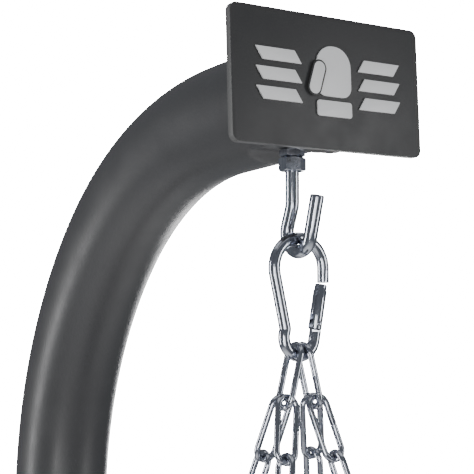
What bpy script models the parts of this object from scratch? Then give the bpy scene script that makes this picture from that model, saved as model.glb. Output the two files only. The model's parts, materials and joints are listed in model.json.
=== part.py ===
"""Punching bag hanging by four chains from a gooseneck tube stand.

Metres, +Z up. The origin is on the floor under the middle of the base, and the arm's
sign plate faces -Y. Every object is one piece of the real thing.
"""

from math import atan2, cos, hypot, pi, radians, sin, sqrt, tan

import bmesh
import bpy
from mathutils import Matrix, Vector

GAP = 0.0003          # left between pieces that touch

# Stand tubes
TUBE_R = 0.04445      # 3.5 inch tube
TUBE_WALL = 0.0032
TUBE_SIDES = 24
MAST_Y = 0.25
MAST_SPLIT_Z = 1.05   # where the arm tube stands on the mast tube
SLEEVE_FIT = 0.0006   # room between a tube and the sleeve or socket round it
SLEEVE_WALL = 0.006
SLEEVE_HALF = 0.10
FLANGE_R = 0.078
FLANGE_THICK = 0.008
SOCKET_HEIGHT = 0.17

# Cross bolts, M10, through the sleeve and the socket
CROSS_R = 0.005
CROSS_HOLE_R = 0.0056
CROSS_FLATS = 0.016
CROSS_HEAD = 0.0064
CROSS_NUT = 0.0084
COUPLING_BOLT_OFFSET = 0.05
SOCKET_BOLT_RISE = 0.12

# Arm, in its own plane: a straight nose, then two bends of different radius down to the mast
ARM_SLOPE = radians(2.7)
NOSE_LENGTH = 0.1225
BEND_1 = (0.298, radians(41.5))
BEND_2 = (0.361, radians(90 - 2.7 - 41.5))
SIGN_CENTRE = Vector((0, MAST_Y - 0.42495, 2.10))   # middle of the sign plate's back
NOSE_DROP = 0.0034    # the tube's axis meets the plate this far under its middle
SEAT_DEPTH = 0.0075   # pressed flat under the arm, where the hook's nuts bear
SEAT_HALF = 0.014

# Sign plate
SIGN_SIZE = (0.1696, 0.006, 0.0977)
SIGN_CORNER = 0.006
EMBLEM_THICK = 0.0016

# Hook bolt, M12, bent into an open hook
HOOK_BEHIND_SIGN = 0.0398
HOOK_R = 0.00525
HOOK_BEND_R = 0.0148
HOOK_KINK = 22        # degrees the shank leans back before the bend
NUT_FLATS = 0.018
NUT_HEIGHT = 0.0105
LOCK_NUT_HEIGHT = 0.006
WASHER_R = 0.012
WASHER_THICK = 0.0025

# Snap hook, bent from 9 mm wire
SNAP_R = 0.0045
SNAP_TOP_R = 0.0222
SNAP_EYE_R = 0.0137
SNAP_HEIGHT = 0.0955
SNAP_TAPER = 13       # degrees the back leg leans in
GATE_LENGTH = 0.0295
GATE_LEAN = 10.5
TONGUE_THICK = 0.0038
TONGUE_R = 0.0034
GATE_SLOT = 0.0046
PIN_R = 0.0015
PIN_HOLE_R = 0.0018

# Chain
LINK_R = 0.0025
LINK_END_R = 0.008    # centreline radius of a link's round ends
LINK_PITCH = 0.042
LEG_LINKS = 11
LEG_PITCH = 0.0430    # links of one leg bite into each other a little, so that the leg is one solid
TOP_LINK_LEAN = 14.5
TOP_LINK_SPREAD = 0.0046
TOP_LINK_PLAY = 0.0008    # over the eye, whose curve the links have to clear as they swing
LEG_SPREAD = 0.00275      # two legs share each top link, side by side

# Bag
BAG_R = 0.170
BAG_HEIGHT = 0.90
COVER_WALL = 0.0035
RING_R = 0.003
RING_BEND_R = 0.0225
RING_DEPTH = 0.034    # centre of the bow's wire to centre of the straight bar
STRAP_THICK = 0.0028
STRAP_WIDTH = 0.034
STRAP_LENGTH = 0.15
RIM_DROP = 0.013      # the bag's rim below the rings' bars

# Base
FOOT_HEIGHT = 0.018
LEG_TUBE = (0.060, 0.040, 0.0025)    # width, height, wall
FRONT_TOE = Vector((0.565, -0.575))
CAP_THICK = 0.003
HUB_SIZE = (0.30, 0.26, 0.008)
PEG_R = 0.0125
PEG_HEIGHT = 0.20


def clear_scene():
    for obj in list(bpy.data.objects):
        bpy.data.objects.remove(obj)


def material(name, colour, roughness, metallic):
    made = bpy.data.materials.new(name)
    made.use_nodes = True
    shader = made.node_tree.nodes["Principled BSDF"]
    shader.inputs["Base Color"].default_value = (*colour, 1)
    shader.inputs["Roughness"].default_value = roughness
    shader.inputs["Metallic"].default_value = metallic
    return made


def add(name, mesh, finish, matrix=None, smooth=35):
    """One named object from a bmesh or a mesh, shaded smooth below the given angle."""
    if isinstance(mesh, bmesh.types.BMesh):
        built = bpy.data.meshes.new(name)
        mesh.to_mesh(built)
        mesh.free()
        mesh = built
    mesh.materials.clear()
    mesh.materials.append(finish)
    mesh.shade_smooth()
    mesh.set_sharp_from_angle(angle=radians(smooth))
    obj = bpy.data.objects.new(name, mesh)
    obj.matrix_world = matrix or Matrix()
    bpy.context.scene.collection.objects.link(obj)
    return obj


def helper(name, mesh, matrix=None):
    """A cutter: never rendered, and left out of the model."""
    obj = add(name, mesh, FINISH["steel"], matrix)
    obj.hide_render = True
    obj.display_type = "WIRE"
    return obj


def combine(obj, other, operation):
    modifier = obj.modifiers.new(operation.title(), "BOOLEAN")
    modifier.object = other
    modifier.operation = operation
    modifier.solver = "EXACT"


def frame_matrix(origin, x_axis, z_axis):
    """A right-handed placement from an origin, an x direction and a z direction square to it."""
    y_axis = z_axis.cross(x_axis)
    return Matrix.Translation(origin) @ Matrix((x_axis, y_axis, z_axis)).transposed().to_4x4()


def turned(profile, sides=24, hexagon_from=None):
    """A solid turned about Z from (radius, z) points. Points past hexagon_from become a hexagon."""
    bm = bmesh.new()
    points = [bm.verts.new((r, 0, z)) for r, z in profile]
    closed = profile[0][0] > 0
    pairs = zip(points, points[1:] + points[:1] if closed else points[1:])
    edges = [bm.edges.new(pair) for pair in pairs]
    bmesh.ops.spin(bm, geom=points + edges, cent=(0, 0, 0), axis=(0, 0, 1), angle=2 * pi,
                   steps=sides, use_merge=True)
    bmesh.ops.remove_doubles(bm, verts=bm.verts, dist=1e-6)
    if hexagon_from is not None:
        flat = cos(pi / 6)
        for v in bm.verts:
            turn = round(Vector((v.co.x, v.co.y)).angle_signed(Vector((1, 0)), 0) / (pi / 6))
            if hypot(v.co.x, v.co.y) > hexagon_from and turn % 2:
                v.co.x *= flat
                v.co.y *= flat
    bmesh.ops.recalc_face_normals(bm, faces=bm.faces)
    return bm


def hex_nut(flats, height, bore):
    corner = flats / 2 / cos(pi / 6)
    chamfer = 0.0008
    profile = [(bore, 0), (flats / 2, 0), (corner, chamfer), (corner, height - chamfer),
               (flats / 2, height), (bore, height)]
    return turned(profile, 12, flats / 2 + 0.0002)


def hex_bolt(flats, head, shank_r, length):
    """Head above z = 0, shank below it."""
    corner = flats / 2 / cos(pi / 6)
    chamfer = 0.0008
    profile = [(0, -length), (shank_r, -length), (shank_r, 0), (corner, 0), (corner, head - chamfer),
               (flats / 2, head), (0, head)]
    return turned(profile, 12, flats / 2 + 0.0002)


def trace(start, heading, moves, arc_step=15):
    """Points of a flat route: (length,) runs straight, (radius, degrees) turns left, or right if negative."""
    x, y = start
    points = [(x, y)]
    for move in moves:
        if len(move) == 1:
            x += move[0] * cos(radians(heading))
            y += move[0] * sin(radians(heading))
            points.append((x, y))
            continue
        radius, turn = move
        steps = max(2, round(abs(turn) / arc_step))
        chord = 2 * radius * sin(radians(abs(turn) / steps / 2))
        for _ in range(steps):
            heading += turn / steps / 2
            x += chord * cos(radians(heading))
            y += chord * sin(radians(heading))
            heading += turn / steps / 2
            points.append((x, y))
    return points


def wire_mesh(name, points, radius, resolution=2, loop=False):
    """Mesh of round wire along points in the XZ plane; a loop joins its ends."""
    curve = bpy.data.curves.new(name, "CURVE")
    curve.dimensions = "3D"
    curve.bevel_depth = radius
    curve.bevel_resolution = resolution
    curve.use_fill_caps = not loop
    if loop and hypot(points[0][0] - points[-1][0], points[0][1] - points[-1][1]) < 1e-6:
        points = points[:-1]
    spline = curve.splines.new("POLY")
    spline.points.add(len(points) - 1)
    for point, (x, z) in zip(spline.points, points):
        point.co = (x, 0, z, 1)
    spline.use_cyclic_u = loop
    guide = bpy.data.objects.new(name, curve)
    bpy.context.scene.collection.objects.link(guide)
    bpy.context.view_layer.update()
    graph = bpy.context.evaluated_depsgraph_get()
    mesh = bpy.data.meshes.new_from_object(guide.evaluated_get(graph))
    bpy.data.objects.remove(guide)
    bm = bmesh.new()
    bm.from_mesh(mesh)
    bmesh.ops.remove_doubles(bm, verts=bm.verts, dist=1e-7)
    bmesh.ops.recalc_face_normals(bm, faces=bm.faces)
    bm.to_mesh(mesh)
    bm.free()
    return mesh


def box(size, centre=(0, 0, 0)):
    bm = bmesh.new()
    bmesh.ops.create_cube(bm, size=1)
    bmesh.ops.scale(bm, vec=size, verts=bm.verts)
    bmesh.ops.translate(bm, vec=centre, verts=bm.verts)
    return bm


def slab(outline, thickness, centre=0):
    """A flat plate of the given (x, z) outline, its thickness along Y."""
    bm = bmesh.new()
    face = bm.faces.new([bm.verts.new((x, centre - thickness / 2, z)) for x, z in outline])
    made = bmesh.ops.extrude_face_region(bm, geom=[face])["geom"]
    moved = [v for v in made if isinstance(v, bmesh.types.BMVert)]
    bmesh.ops.translate(bm, vec=(0, thickness, 0), verts=moved)
    bmesh.ops.recalc_face_normals(bm, faces=bm.faces)
    return bm


def rounded_rectangle(width, height, corner, steps=4):
    across, up = width - 2 * corner, height - 2 * corner
    moves = [(across,), (corner, 90), (up,), (corner, 90), (across,), (corner, 90), (up,), (corner, 90)]
    return trace((-across / 2, -height / 2), 0, moves, 90 / steps)[:-1]


clear_scene()
FINISH = {
    "powder": material("charcoal_powder_coat", (0.060, 0.060, 0.063), 0.42, 0.0),
    "sign": material("sign_charcoal", (0.045, 0.045, 0.046), 0.45, 0.0),
    "emblem": material("emblem_grey", (0.52, 0.52, 0.52), 0.5, 0.0),
    "steel": material("zinc_plated_steel", (0.60, 0.63, 0.67), 0.28, 1.0),
    "rubber": material("black_rubber", (0.02, 0.02, 0.02), 0.8, 0.0),
    "leather": material("black_leather", (0.018, 0.018, 0.019), 0.45, 0.0),
    "filling": material("fibre_filling", (0.30, 0.28, 0.25), 0.95, 0.0),
    "webbing": material("black_webbing", (0.022, 0.022, 0.024), 0.8, 0.0),
}

# Places worked out from the driving sizes
NOSE_END = SIGN_CENTRE - Vector((0, 0, NOSE_DROP))
HOOK_Y = SIGN_CENTRE.y + HOOK_BEHIND_SIGN
TUBE_BOTTOM_Z = NOSE_END.z - sin(ARM_SLOPE) * HOOK_BEHIND_SIGN - TUBE_R / cos(ARM_SLOPE)
TUBE_TOP_Z = TUBE_BOTTOM_Z + 2 * TUBE_R / cos(ARM_SLOPE)
SEAT_Z = TUBE_BOTTOM_Z + SEAT_DEPTH
HUB_TOP_Z = FOOT_HEIGHT + GAP + LEG_TUBE[1] + GAP + HUB_SIZE[2]
SLEEVE_BORE_R = TUBE_R + SLEEVE_FIT
SLEEVE_R = SLEEVE_BORE_R + SLEEVE_WALL


def tube_profile(outer, wall, low, high):
    return [(outer, low), (outer, high), (outer - wall, high), (outer - wall, low)]


def drill(radius, reach):
    """A cutter for a round hole along Z, reaching as far both ways."""
    return turned([(0, -reach), (radius, -reach), (radius, reach), (0, reach)], 12)


def cross_hole(obj, name, z):
    """A bolt hole through both walls of an upright tube, along X."""
    spot = Matrix.Translation((0, MAST_Y, z)) @ Matrix.Rotation(pi / 2, 4, "Y")
    combine(obj, helper(name, drill(CROSS_HOLE_R, 0.09), spot), "DIFFERENCE")


def arm_tube():
    """The ring is extruded along the nose, then spun round both bends and dropped onto the mast."""
    bm = bmesh.new()
    ring = bmesh.ops.create_circle(bm, radius=TUBE_R, segments=TUBE_SIDES)["verts"]
    back = Vector((0, cos(ARM_SLOPE), -sin(ARM_SLOPE)))
    up = Vector((0, sin(ARM_SLOPE), cos(ARM_SLOPE)))
    turn = Matrix.Rotation(pi / 2 - ARM_SLOPE, 4, "X")
    bmesh.ops.transform(bm, matrix=Matrix.Translation(NOSE_END + back * GAP) @ turn, verts=ring)
    edges = bm.edges[:]
    stops = [HOOK_BEHIND_SIGN + shift for shift in (-2.0 * SEAT_HALF, -SEAT_HALF, SEAT_HALF, 2.0 * SEAT_HALF)]
    travelled = GAP
    for stop in stops + [NOSE_LENGTH]:
        edges = grow(bm, edges, back * (stop - travelled))
        travelled = stop
    press_seat(bm)
    corner = NOSE_END + back * NOSE_LENGTH
    for radius, angle in (BEND_1, BEND_2):
        centre = corner - up * radius
        geom = edges + list({v for e in edges for v in e.verts})
        spun = bmesh.ops.spin(bm, geom=geom, cent=centre, axis=(-1, 0, 0), angle=angle, steps=7)
        edges = [item for item in spun["geom_last"] if isinstance(item, bmesh.types.BMEdge)]
        rotation = Matrix.Rotation(angle, 3, (-1, 0, 0))
        corner = centre + rotation @ (corner - centre)
        up = rotation @ up
    grow(bm, edges, Vector((0, 0, MAST_SPLIT_Z + GAP - corner.z)))
    bmesh.ops.remove_doubles(bm, verts=bm.verts, dist=1e-6)
    bmesh.ops.recalc_face_normals(bm, faces=bm.faces)
    tube = add("arm_tube", bm, FINISH["powder"])
    wall = tube.modifiers.new("Wall", "SOLIDIFY")
    wall.thickness = TUBE_WALL
    wall.offset = -1
    wall.use_even_offset = True
    middle = Matrix.Translation((0, HOOK_Y, (SEAT_Z + TUBE_TOP_Z) / 2))
    combine(tube, helper("hook_drill", drill(HOOK_R + 2 * GAP, 0.08), middle), "DIFFERENCE")
    cross_hole(tube, "arm_drill", MAST_SPLIT_Z + COUPLING_BOLT_OFFSET)
    return tube


def grow(bm, edges, shift):
    """Extrudes a ring of edges, moves the new ring and returns its edges."""
    made = bmesh.ops.extrude_edge_only(bm, edges=edges)["geom"]
    bmesh.ops.translate(bm, vec=shift, verts=[v for v in made if isinstance(v, bmesh.types.BMVert)])
    return [e for e in made if isinstance(e, bmesh.types.BMEdge)]


def press_seat(bm):
    """Flattens the underside of the tube between the two rings beside the hook bolt."""
    for v in bm.verts:
        if abs(v.co.y - HOOK_Y) < 1.2 * SEAT_HALF:
            v.co.z = max(v.co.z, SEAT_Z)


def stand_tubes():
    """The mast tube stands in a flanged socket, and a sleeve joins the arm tube to its top."""
    place = Matrix.Translation((0, MAST_Y, 0))
    low = HUB_TOP_Z + GAP
    socket_bolt_z = HUB_TOP_Z + SOCKET_BOLT_RISE
    low_bolt_z, high_bolt_z = MAST_SPLIT_Z - COUPLING_BOLT_OFFSET, MAST_SPLIT_Z + COUPLING_BOLT_OFFSET
    arm_tube()
    mast = add("mast_tube", turned(tube_profile(TUBE_R, TUBE_WALL, low, MAST_SPLIT_Z), TUBE_SIDES),
               FINISH["powder"], place)
    cross_hole(mast, "mast_drill_top", low_bolt_z)
    cross_hole(mast, "mast_drill_foot", socket_bolt_z)
    profile = tube_profile(SLEEVE_R, SLEEVE_WALL, MAST_SPLIT_Z - SLEEVE_HALF, MAST_SPLIT_Z + SLEEVE_HALF)
    sleeve = add("coupling_sleeve", turned(profile, TUBE_SIDES), FINISH["powder"], place)
    cross_hole(sleeve, "sleeve_drill_low", low_bolt_z)
    cross_hole(sleeve, "sleeve_drill_high", high_bolt_z)
    flange_top, high = low + FLANGE_THICK, low + SOCKET_HEIGHT
    flange = [(SLEEVE_BORE_R, low), (FLANGE_R, low), (FLANGE_R, flange_top), (SLEEVE_R, flange_top),
              (SLEEVE_R, high), (SLEEVE_BORE_R, high)]
    socket = add("mast_socket", turned(flange, TUBE_SIDES), FINISH["powder"], place)
    cross_hole(socket, "socket_drill", socket_bolt_z)
    for name, z in (("coupling_low", low_bolt_z), ("coupling_high", high_bolt_z), ("socket", socket_bolt_z)):
        cross_bolt(name, z)
    for number in range(4):
        gusset(number, flange_top + GAP)


def cross_bolt(name, z):
    """A bolt through the sleeve or the socket from -X, with its nut on the +X side."""
    seat = SLEEVE_R + GAP
    place = frame_matrix(Vector((-seat, MAST_Y, z)), Vector((0, 1, 0)), Vector((-1, 0, 0)))
    bolt = hex_bolt(CROSS_FLATS, CROSS_HEAD, CROSS_R, 2 * seat + CROSS_NUT + 0.0056)
    add(name + "_bolt", bolt, FINISH["steel"], place)
    place = frame_matrix(Vector((seat, MAST_Y, z)), Vector((0, 1, 0)), Vector((1, 0, 0)))
    add(name + "_nut", hex_nut(CROSS_FLATS, CROSS_NUT, CROSS_R + GAP), FINISH["steel"], place)


def gusset(number, low):
    """One of four welded webs that stand on the flange and stay the socket."""
    reach, rise, tip, thick = 0.050, 0.11, 0.012, 0.006
    start = SLEEVE_R + 2 * GAP
    outline = [(0, 0), (reach, 0), (reach, tip), (tip, rise), (0, rise)]
    place = Matrix.Translation((0, MAST_Y, low)) @ Matrix.Rotation(radians(45 + 90 * number), 4, "Z")
    add(f"gusset_{number + 1}", slab([(x + start, z) for x, z in outline], thick), FINISH["powder"], place)


def sign():
    """Plate across the end of the arm, with a raised emblem: a glove in front of tapered bars."""
    tilt = Matrix.Translation(SIGN_CENTRE) @ Matrix.Rotation(-ARM_SLOPE, 4, "X")
    width, thick, height = SIGN_SIZE
    add("sign_plate", slab(rounded_rectangle(width, height, SIGN_CORNER), thick, -thick / 2),
        FINISH["sign"], tilt)
    front = -thick - GAP - EMBLEM_THICK / 2
    right = [(0.022, -0.024), (0.066, 0.0), (0.060, 0.030), (0.022, 0.024)]
    outline = right + [(-x, z) for x, z in reversed(right)]
    add("sign_emblem", slab(outline, EMBLEM_THICK, front), FINISH["emblem"], tilt)


def hook_bolt():
    """Its flat route runs down the shank: x is towards the front (-Y), y is up."""
    tip_rise, tip, open_by = 0.004, 0.0305, 16
    top = TUBE_TOP_Z + WASHER_THICK + NUT_HEIGHT + tip_rise
    kink_z = HOOK_BAR.z + HOOK_BEND_R + 0.0197
    kink_r = 0.012
    run = kink_r * sin(radians(HOOK_KINK) / 2) / cos(radians(HOOK_KINK) / 2)
    moves = [(top - kink_z - run,), (kink_r, -HOOK_KINK), (0.01526 - run,),
             (HOOK_BEND_R, 180 + HOOK_KINK - open_by), (tip,)]
    route = trace((0, top), -90, moves)
    face = Matrix.Translation((0, HOOK_Y, 0)) @ Matrix.Rotation(-pi / 2, 4, "Z")
    add("hook_bolt", wire_mesh("hook_bolt", route, HOOK_R, 3), FINISH["steel"], face)
    bore = HOOK_R + GAP
    spot = Matrix.Translation((0, HOOK_Y, SEAT_Z - GAP - LOCK_NUT_HEIGHT))
    add("hook_lock_nut", hex_nut(NUT_FLATS, LOCK_NUT_HEIGHT, bore), FINISH["steel"], spot)
    spot = Matrix.Translation((0, HOOK_Y, SEAT_Z - 2 * GAP - LOCK_NUT_HEIGHT - NUT_HEIGHT))
    add("hook_lower_nut", hex_nut(NUT_FLATS, NUT_HEIGHT, bore), FINISH["steel"], spot)
    rest = TUBE_TOP_Z + 0.0012      # the washer's edge clears the sloping tube
    washer = turned(tube_profile(WASHER_R, WASHER_R - bore, 0, WASHER_THICK), 16)
    add("hook_top_washer", washer, FINISH["steel"], Matrix.Translation((0, HOOK_Y, rest)))
    spot = Matrix.Translation((0, HOOK_Y, rest + WASHER_THICK + GAP))
    add("hook_top_nut", hex_nut(NUT_FLATS, NUT_HEIGHT, bore), FINISH["steel"], spot)


# The hook's bend hangs forward of its shank. The snap hook sits in the bottom of that bend.
HOOK_BAR = Vector((0, HOOK_Y - 0.0080, SIGN_CENTRE.z - 0.1195))
SNAP_TOP = Vector((0, HOOK_BAR.y, HOOK_BAR.z + HOOK_R + GAP + SNAP_R))
EYE_BAR = SNAP_TOP - Vector((0, 0, SNAP_HEIGHT - 2 * SNAP_R))
PIN = EYE_BAR + Vector((0.0150, 0, 0.0237))


def snap_hook_route():
    """The body's wire in the XZ plane: from the nose over the top, down the back leg and round the eye."""
    arc_z = SNAP_TOP.z - SNAP_TOP_R
    eye_z = EYE_BAR.z + SNAP_EYE_R
    lean = radians(SNAP_TAPER)
    nose, tail_drop = 0.0105, 0.0062
    top = trace((SNAP_TOP_R - 0.0002, arc_z - nose), 90, [(nose,), (SNAP_TOP_R, 180 + SNAP_TAPER)])
    eye = [(SNAP_EYE_R * cos(radians(a)), eye_z + SNAP_EYE_R * sin(radians(a)))
           for a in range(145, 375, 15)]
    neck_z = eye[0][1] + 0.002
    neck = (top[-1][0] + (top[-1][1] - neck_z) * tan(lean), neck_z)
    tail = [(PIN.x - 0.0011, PIN.z - tail_drop), (PIN.x - 0.0002, PIN.z - tail_drop / 2)]
    return top + [neck] + eye + tail


def snap_hook():
    """Pear-shaped body open on its +X side, closed by a gate that turns about a pin in the body's tongue."""
    place = Matrix.Translation((0, SNAP_TOP.y, 0))
    along_y = Matrix.Translation(PIN) @ Matrix.Rotation(pi / 2, 4, "X")
    body = add("snap_hook_body", wire_mesh("snap_hook_body", snap_hook_route(), SNAP_R), FINISH["steel"],
               place)
    root = 0.0055
    moves = [(root,), (TONGUE_R, -180), (root,)]
    tongue = slab(trace((PIN.x - TONGUE_R, PIN.z - root), 90, moves, 30), TONGUE_THICK)
    combine(body, helper("tongue_shape", tongue, place), "UNION")
    for side in (-1, 1):
        cheek = box((0.02, 0.01, 0.012), (PIN.x, side * (TONGUE_THICK / 2 + 0.005), PIN.z + 0.0002))
        combine(body, helper(f"cheek_cut_{side}", cheek, place), "DIFFERENCE")
    combine(body, helper("pin_drill_body", drill(PIN_HOLE_R, 0.01), along_y), "DIFFERENCE")

    tilt = Matrix.Translation(PIN) @ Matrix.Rotation(radians(GATE_LEAN), 4, "Y")
    low, shoulder, rod_r, tip_r = -0.0048, 0.006, 0.0051, 0.0040
    rod = turned([(0, low), (rod_r - 0.0009, low), (rod_r, low + 0.0012), (rod_r, GATE_LENGTH - shoulder),
                  (tip_r, GATE_LENGTH - shoulder / 3), (tip_r, GATE_LENGTH), (0, GATE_LENGTH)], 12)
    gate = add("snap_hook_gate", rod, FINISH["steel"], tilt)
    slot = box((0.016, GATE_SLOT, 0.0145), (0, 0, -0.0006))
    combine(gate, helper("gate_slot", slot, tilt), "DIFFERENCE")
    combine(gate, helper("pin_drill_gate", drill(PIN_HOLE_R, 0.01), along_y), "DIFFERENCE")
    add("snap_hook_pin", drill(PIN_R, 0.0050), FINISH["steel"], along_y)


def link_route():
    straight = LINK_PITCH + 2 * LINK_R - 2 * LINK_END_R
    moves = [(straight,), (LINK_END_R, 180), (straight,), (LINK_END_R, 180)]
    return trace((LINK_END_R, -straight / 2), 90, moves, 45)


LINK_REACH = LINK_PITCH / 2 + LINK_R       # a link's middle to the wire's centre at its end
PLY_GAP = 0.0004                           # between a strap's two plies
BAR_R = BAG_R + GAP + STRAP_THICK + PLY_GAP   # the rings' bars from the bag's middle


def top_links():
    """Two links over the snap hook's eye, leaning apart; returns the middle of each one's lower bend."""
    bends = {}
    for side, name in ((-1, "left"), (1, "right")):
        down = Vector((side * sin(radians(TOP_LINK_LEAN)), 0, -cos(radians(TOP_LINK_LEAN))))
        hang = SNAP_R + LINK_R + TOP_LINK_PLAY
        crown = EYE_BAR + Vector((side * TOP_LINK_SPREAD, 0, 0.0008)) - down * hang
        middle = crown + down * LINK_REACH
        place = frame_matrix(middle, Vector((0, 1, 0)), -down)
        add(f"top_link_{name}", wire_mesh("link", link_route(), LINK_R, 2, True), FINISH["steel"], place)
        bends[side] = crown + down * (2 * LINK_REACH - LINK_END_R)
    return bends


def leg_ends(bend, side_x, side_y):
    """Start of one chain leg, the direction it runs in, and the middle of its ring's straight bar."""
    start = bend + Vector((0, side_y * LEG_SPREAD, -0.0005))
    across = Vector((side_x, side_y, 0)).normalized() * BAR_R + Vector((0, EYE_BAR.y, 0))
    length = 2 * LINK_REACH + (LEG_LINKS - 1) * LEG_PITCH - (LINK_R + RING_R + GAP) + RING_DEPTH
    offset = Vector((across.x - start.x, across.y - start.y, 0))
    bar = start + offset - Vector((0, 0, sqrt(length ** 2 - offset.length ** 2)))
    return start, (bar - start).normalized(), bar


def chain_leg(name, start, down, outward):
    """A row of links, each turned a quarter from the last, joined where they bear on each other.

    The row twists slowly as well, so that its last link stands square to the bag's ring.
    """
    across = (Vector((1, 0, 0)) - down * down.x).normalized()
    last = (outward - down * down.dot(outward)).normalized()
    twist = atan2(across.cross(last).dot(down), across.dot(last))
    twist -= pi * round(twist / pi)
    halves = [bmesh.new(), bmesh.new()]
    for number in range(LEG_LINKS):
        roll = pi / 2 * (number % 2) + twist * number / (LEG_LINKS - 1)
        width = Matrix.Rotation(roll, 3, down) @ across
        place = frame_matrix(start + down * (LINK_REACH + number * LEG_PITCH), width, -down)
        link = wire_mesh("link", link_route(), LINK_R, 1, True)
        link.transform(place)
        halves[number % 2].from_mesh(link)
    leg = add(name, halves[0], FINISH["steel"])
    combine(leg, helper(name + "_other_links", halves[1]), "UNION")


def ring_mesh(name):
    """A D ring: straight bar on the X axis, bow towards +Z."""
    corner = 0.004
    side = RING_DEPTH - RING_BEND_R - corner
    moves = [(2 * (RING_BEND_R - corner),), (corner, 90), (side,), (RING_BEND_R, 180), (side,), (corner, 90)]
    return wire_mesh(name, trace((-RING_BEND_R + corner, 0), 0, moves, 30), RING_R, 2, True)


def bag_strap(name, bar, outward):
    """Webbing folded over the ring's bar, both plies lying down the side of the bag."""
    fold = RING_R + GAP + 0.0006 + STRAP_THICK / 2
    inner = BAG_R + 2 * GAP + STRAP_THICK / 2
    outer = inner + STRAP_THICK + PLY_GAP
    rise = 0.009
    arc = [(BAR_R + fold * cos(radians(a)), fold * sin(radians(a))) for a in range(200, -21, -20)]
    route = [(inner, -STRAP_LENGTH), (inner, -rise)] + arc + [(outer, -rise), (outer, -STRAP_LENGTH)]
    bm = bmesh.new()
    points = [bm.verts.new((r, -STRAP_WIDTH / 2, z)) for r, z in route]
    edges = [bm.edges.new(pair) for pair in zip(points, points[1:])]
    grow(bm, edges, Vector((0, STRAP_WIDTH, 0)))
    bmesh.ops.recalc_face_normals(bm, faces=bm.faces)
    place = frame_matrix(Vector((0, EYE_BAR.y, bar.z)), outward, Vector((0, 0, 1)))
    strap = add(name, bm, FINISH["webbing"], place)
    ply = strap.modifiers.new("Ply", "SOLIDIFY")
    ply.thickness = STRAP_THICK
    ply.offset = 0


def bag(rim_z):
    """Cover, filling and lid. The lid lies on the filling, a little below the cover's rim."""
    floor_z = rim_z - BAG_HEIGHT
    round_r, lid_depth, lid_edge, lid_middle = 0.018, 0.026, 0.010, 0.014
    place = Matrix.Translation((0, EYE_BAR.y, 0))
    inner = BAG_R - COVER_WALL
    cover = [(0, floor_z), (BAG_R - round_r, floor_z), (BAG_R - round_r * 0.3, floor_z + round_r * 0.3),
             (BAG_R, floor_z + round_r), (BAG_R, rim_z), (inner, rim_z),
             (inner, floor_z + round_r), (inner - round_r, floor_z + COVER_WALL), (0, floor_z + COVER_WALL)]
    add("bag_cover", turned(cover, 32), FINISH["leather"], place)
    low, high = floor_z + COVER_WALL + GAP, rim_z - lid_depth
    filling_r, lid_r = inner - 2 * GAP, inner - 0.0010
    filling = [(0, low), (filling_r - round_r, low), (filling_r, low + round_r), (filling_r, high), (0, high)]
    add("bag_filling", turned(filling, 32), FINISH["filling"], place)
    lid = [(0, high + GAP), (lid_r, high + GAP), (lid_r, high + lid_edge), (0, high + lid_middle)]
    add("bag_lid", turned(lid, 32), FINISH["leather"], place)


def bottom_ring(rim_z):
    """A strap bridge under the bag carries a ring for a floor anchor."""
    floor_z = rim_z - BAG_HEIGHT
    thick, width, half, drop = 0.003, 0.030, 0.045, 0.0135
    route = [(-half, 0), (-0.018, 0), (-0.010, -drop), (0.010, -drop), (0.018, 0), (half, 0)]
    bm = bmesh.new()
    points = [bm.verts.new((x, -width / 2, z)) for x, z in route]
    grow(bm, [bm.edges.new(pair) for pair in zip(points, points[1:])], Vector((0, width, 0)))
    bmesh.ops.recalc_face_normals(bm, faces=bm.faces)
    strap_z = floor_z - GAP - thick / 2 - 0.0001
    bridge = add("bottom_strap", bm, FINISH["webbing"], Matrix.Translation((0, EYE_BAR.y, strap_z)))
    ply = bridge.modifiers.new("Ply", "SOLIDIFY")
    ply.thickness = thick
    ply.offset = 0
    bar = Vector((0, EYE_BAR.y, strap_z - drop + thick / 2 + GAP + 0.0001 + RING_R))
    add("bottom_ring", ring_mesh("bottom_ring"), FINISH["steel"],
        frame_matrix(bar, Vector((0, 1, 0)), Vector((0, 0, -1))))


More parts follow.
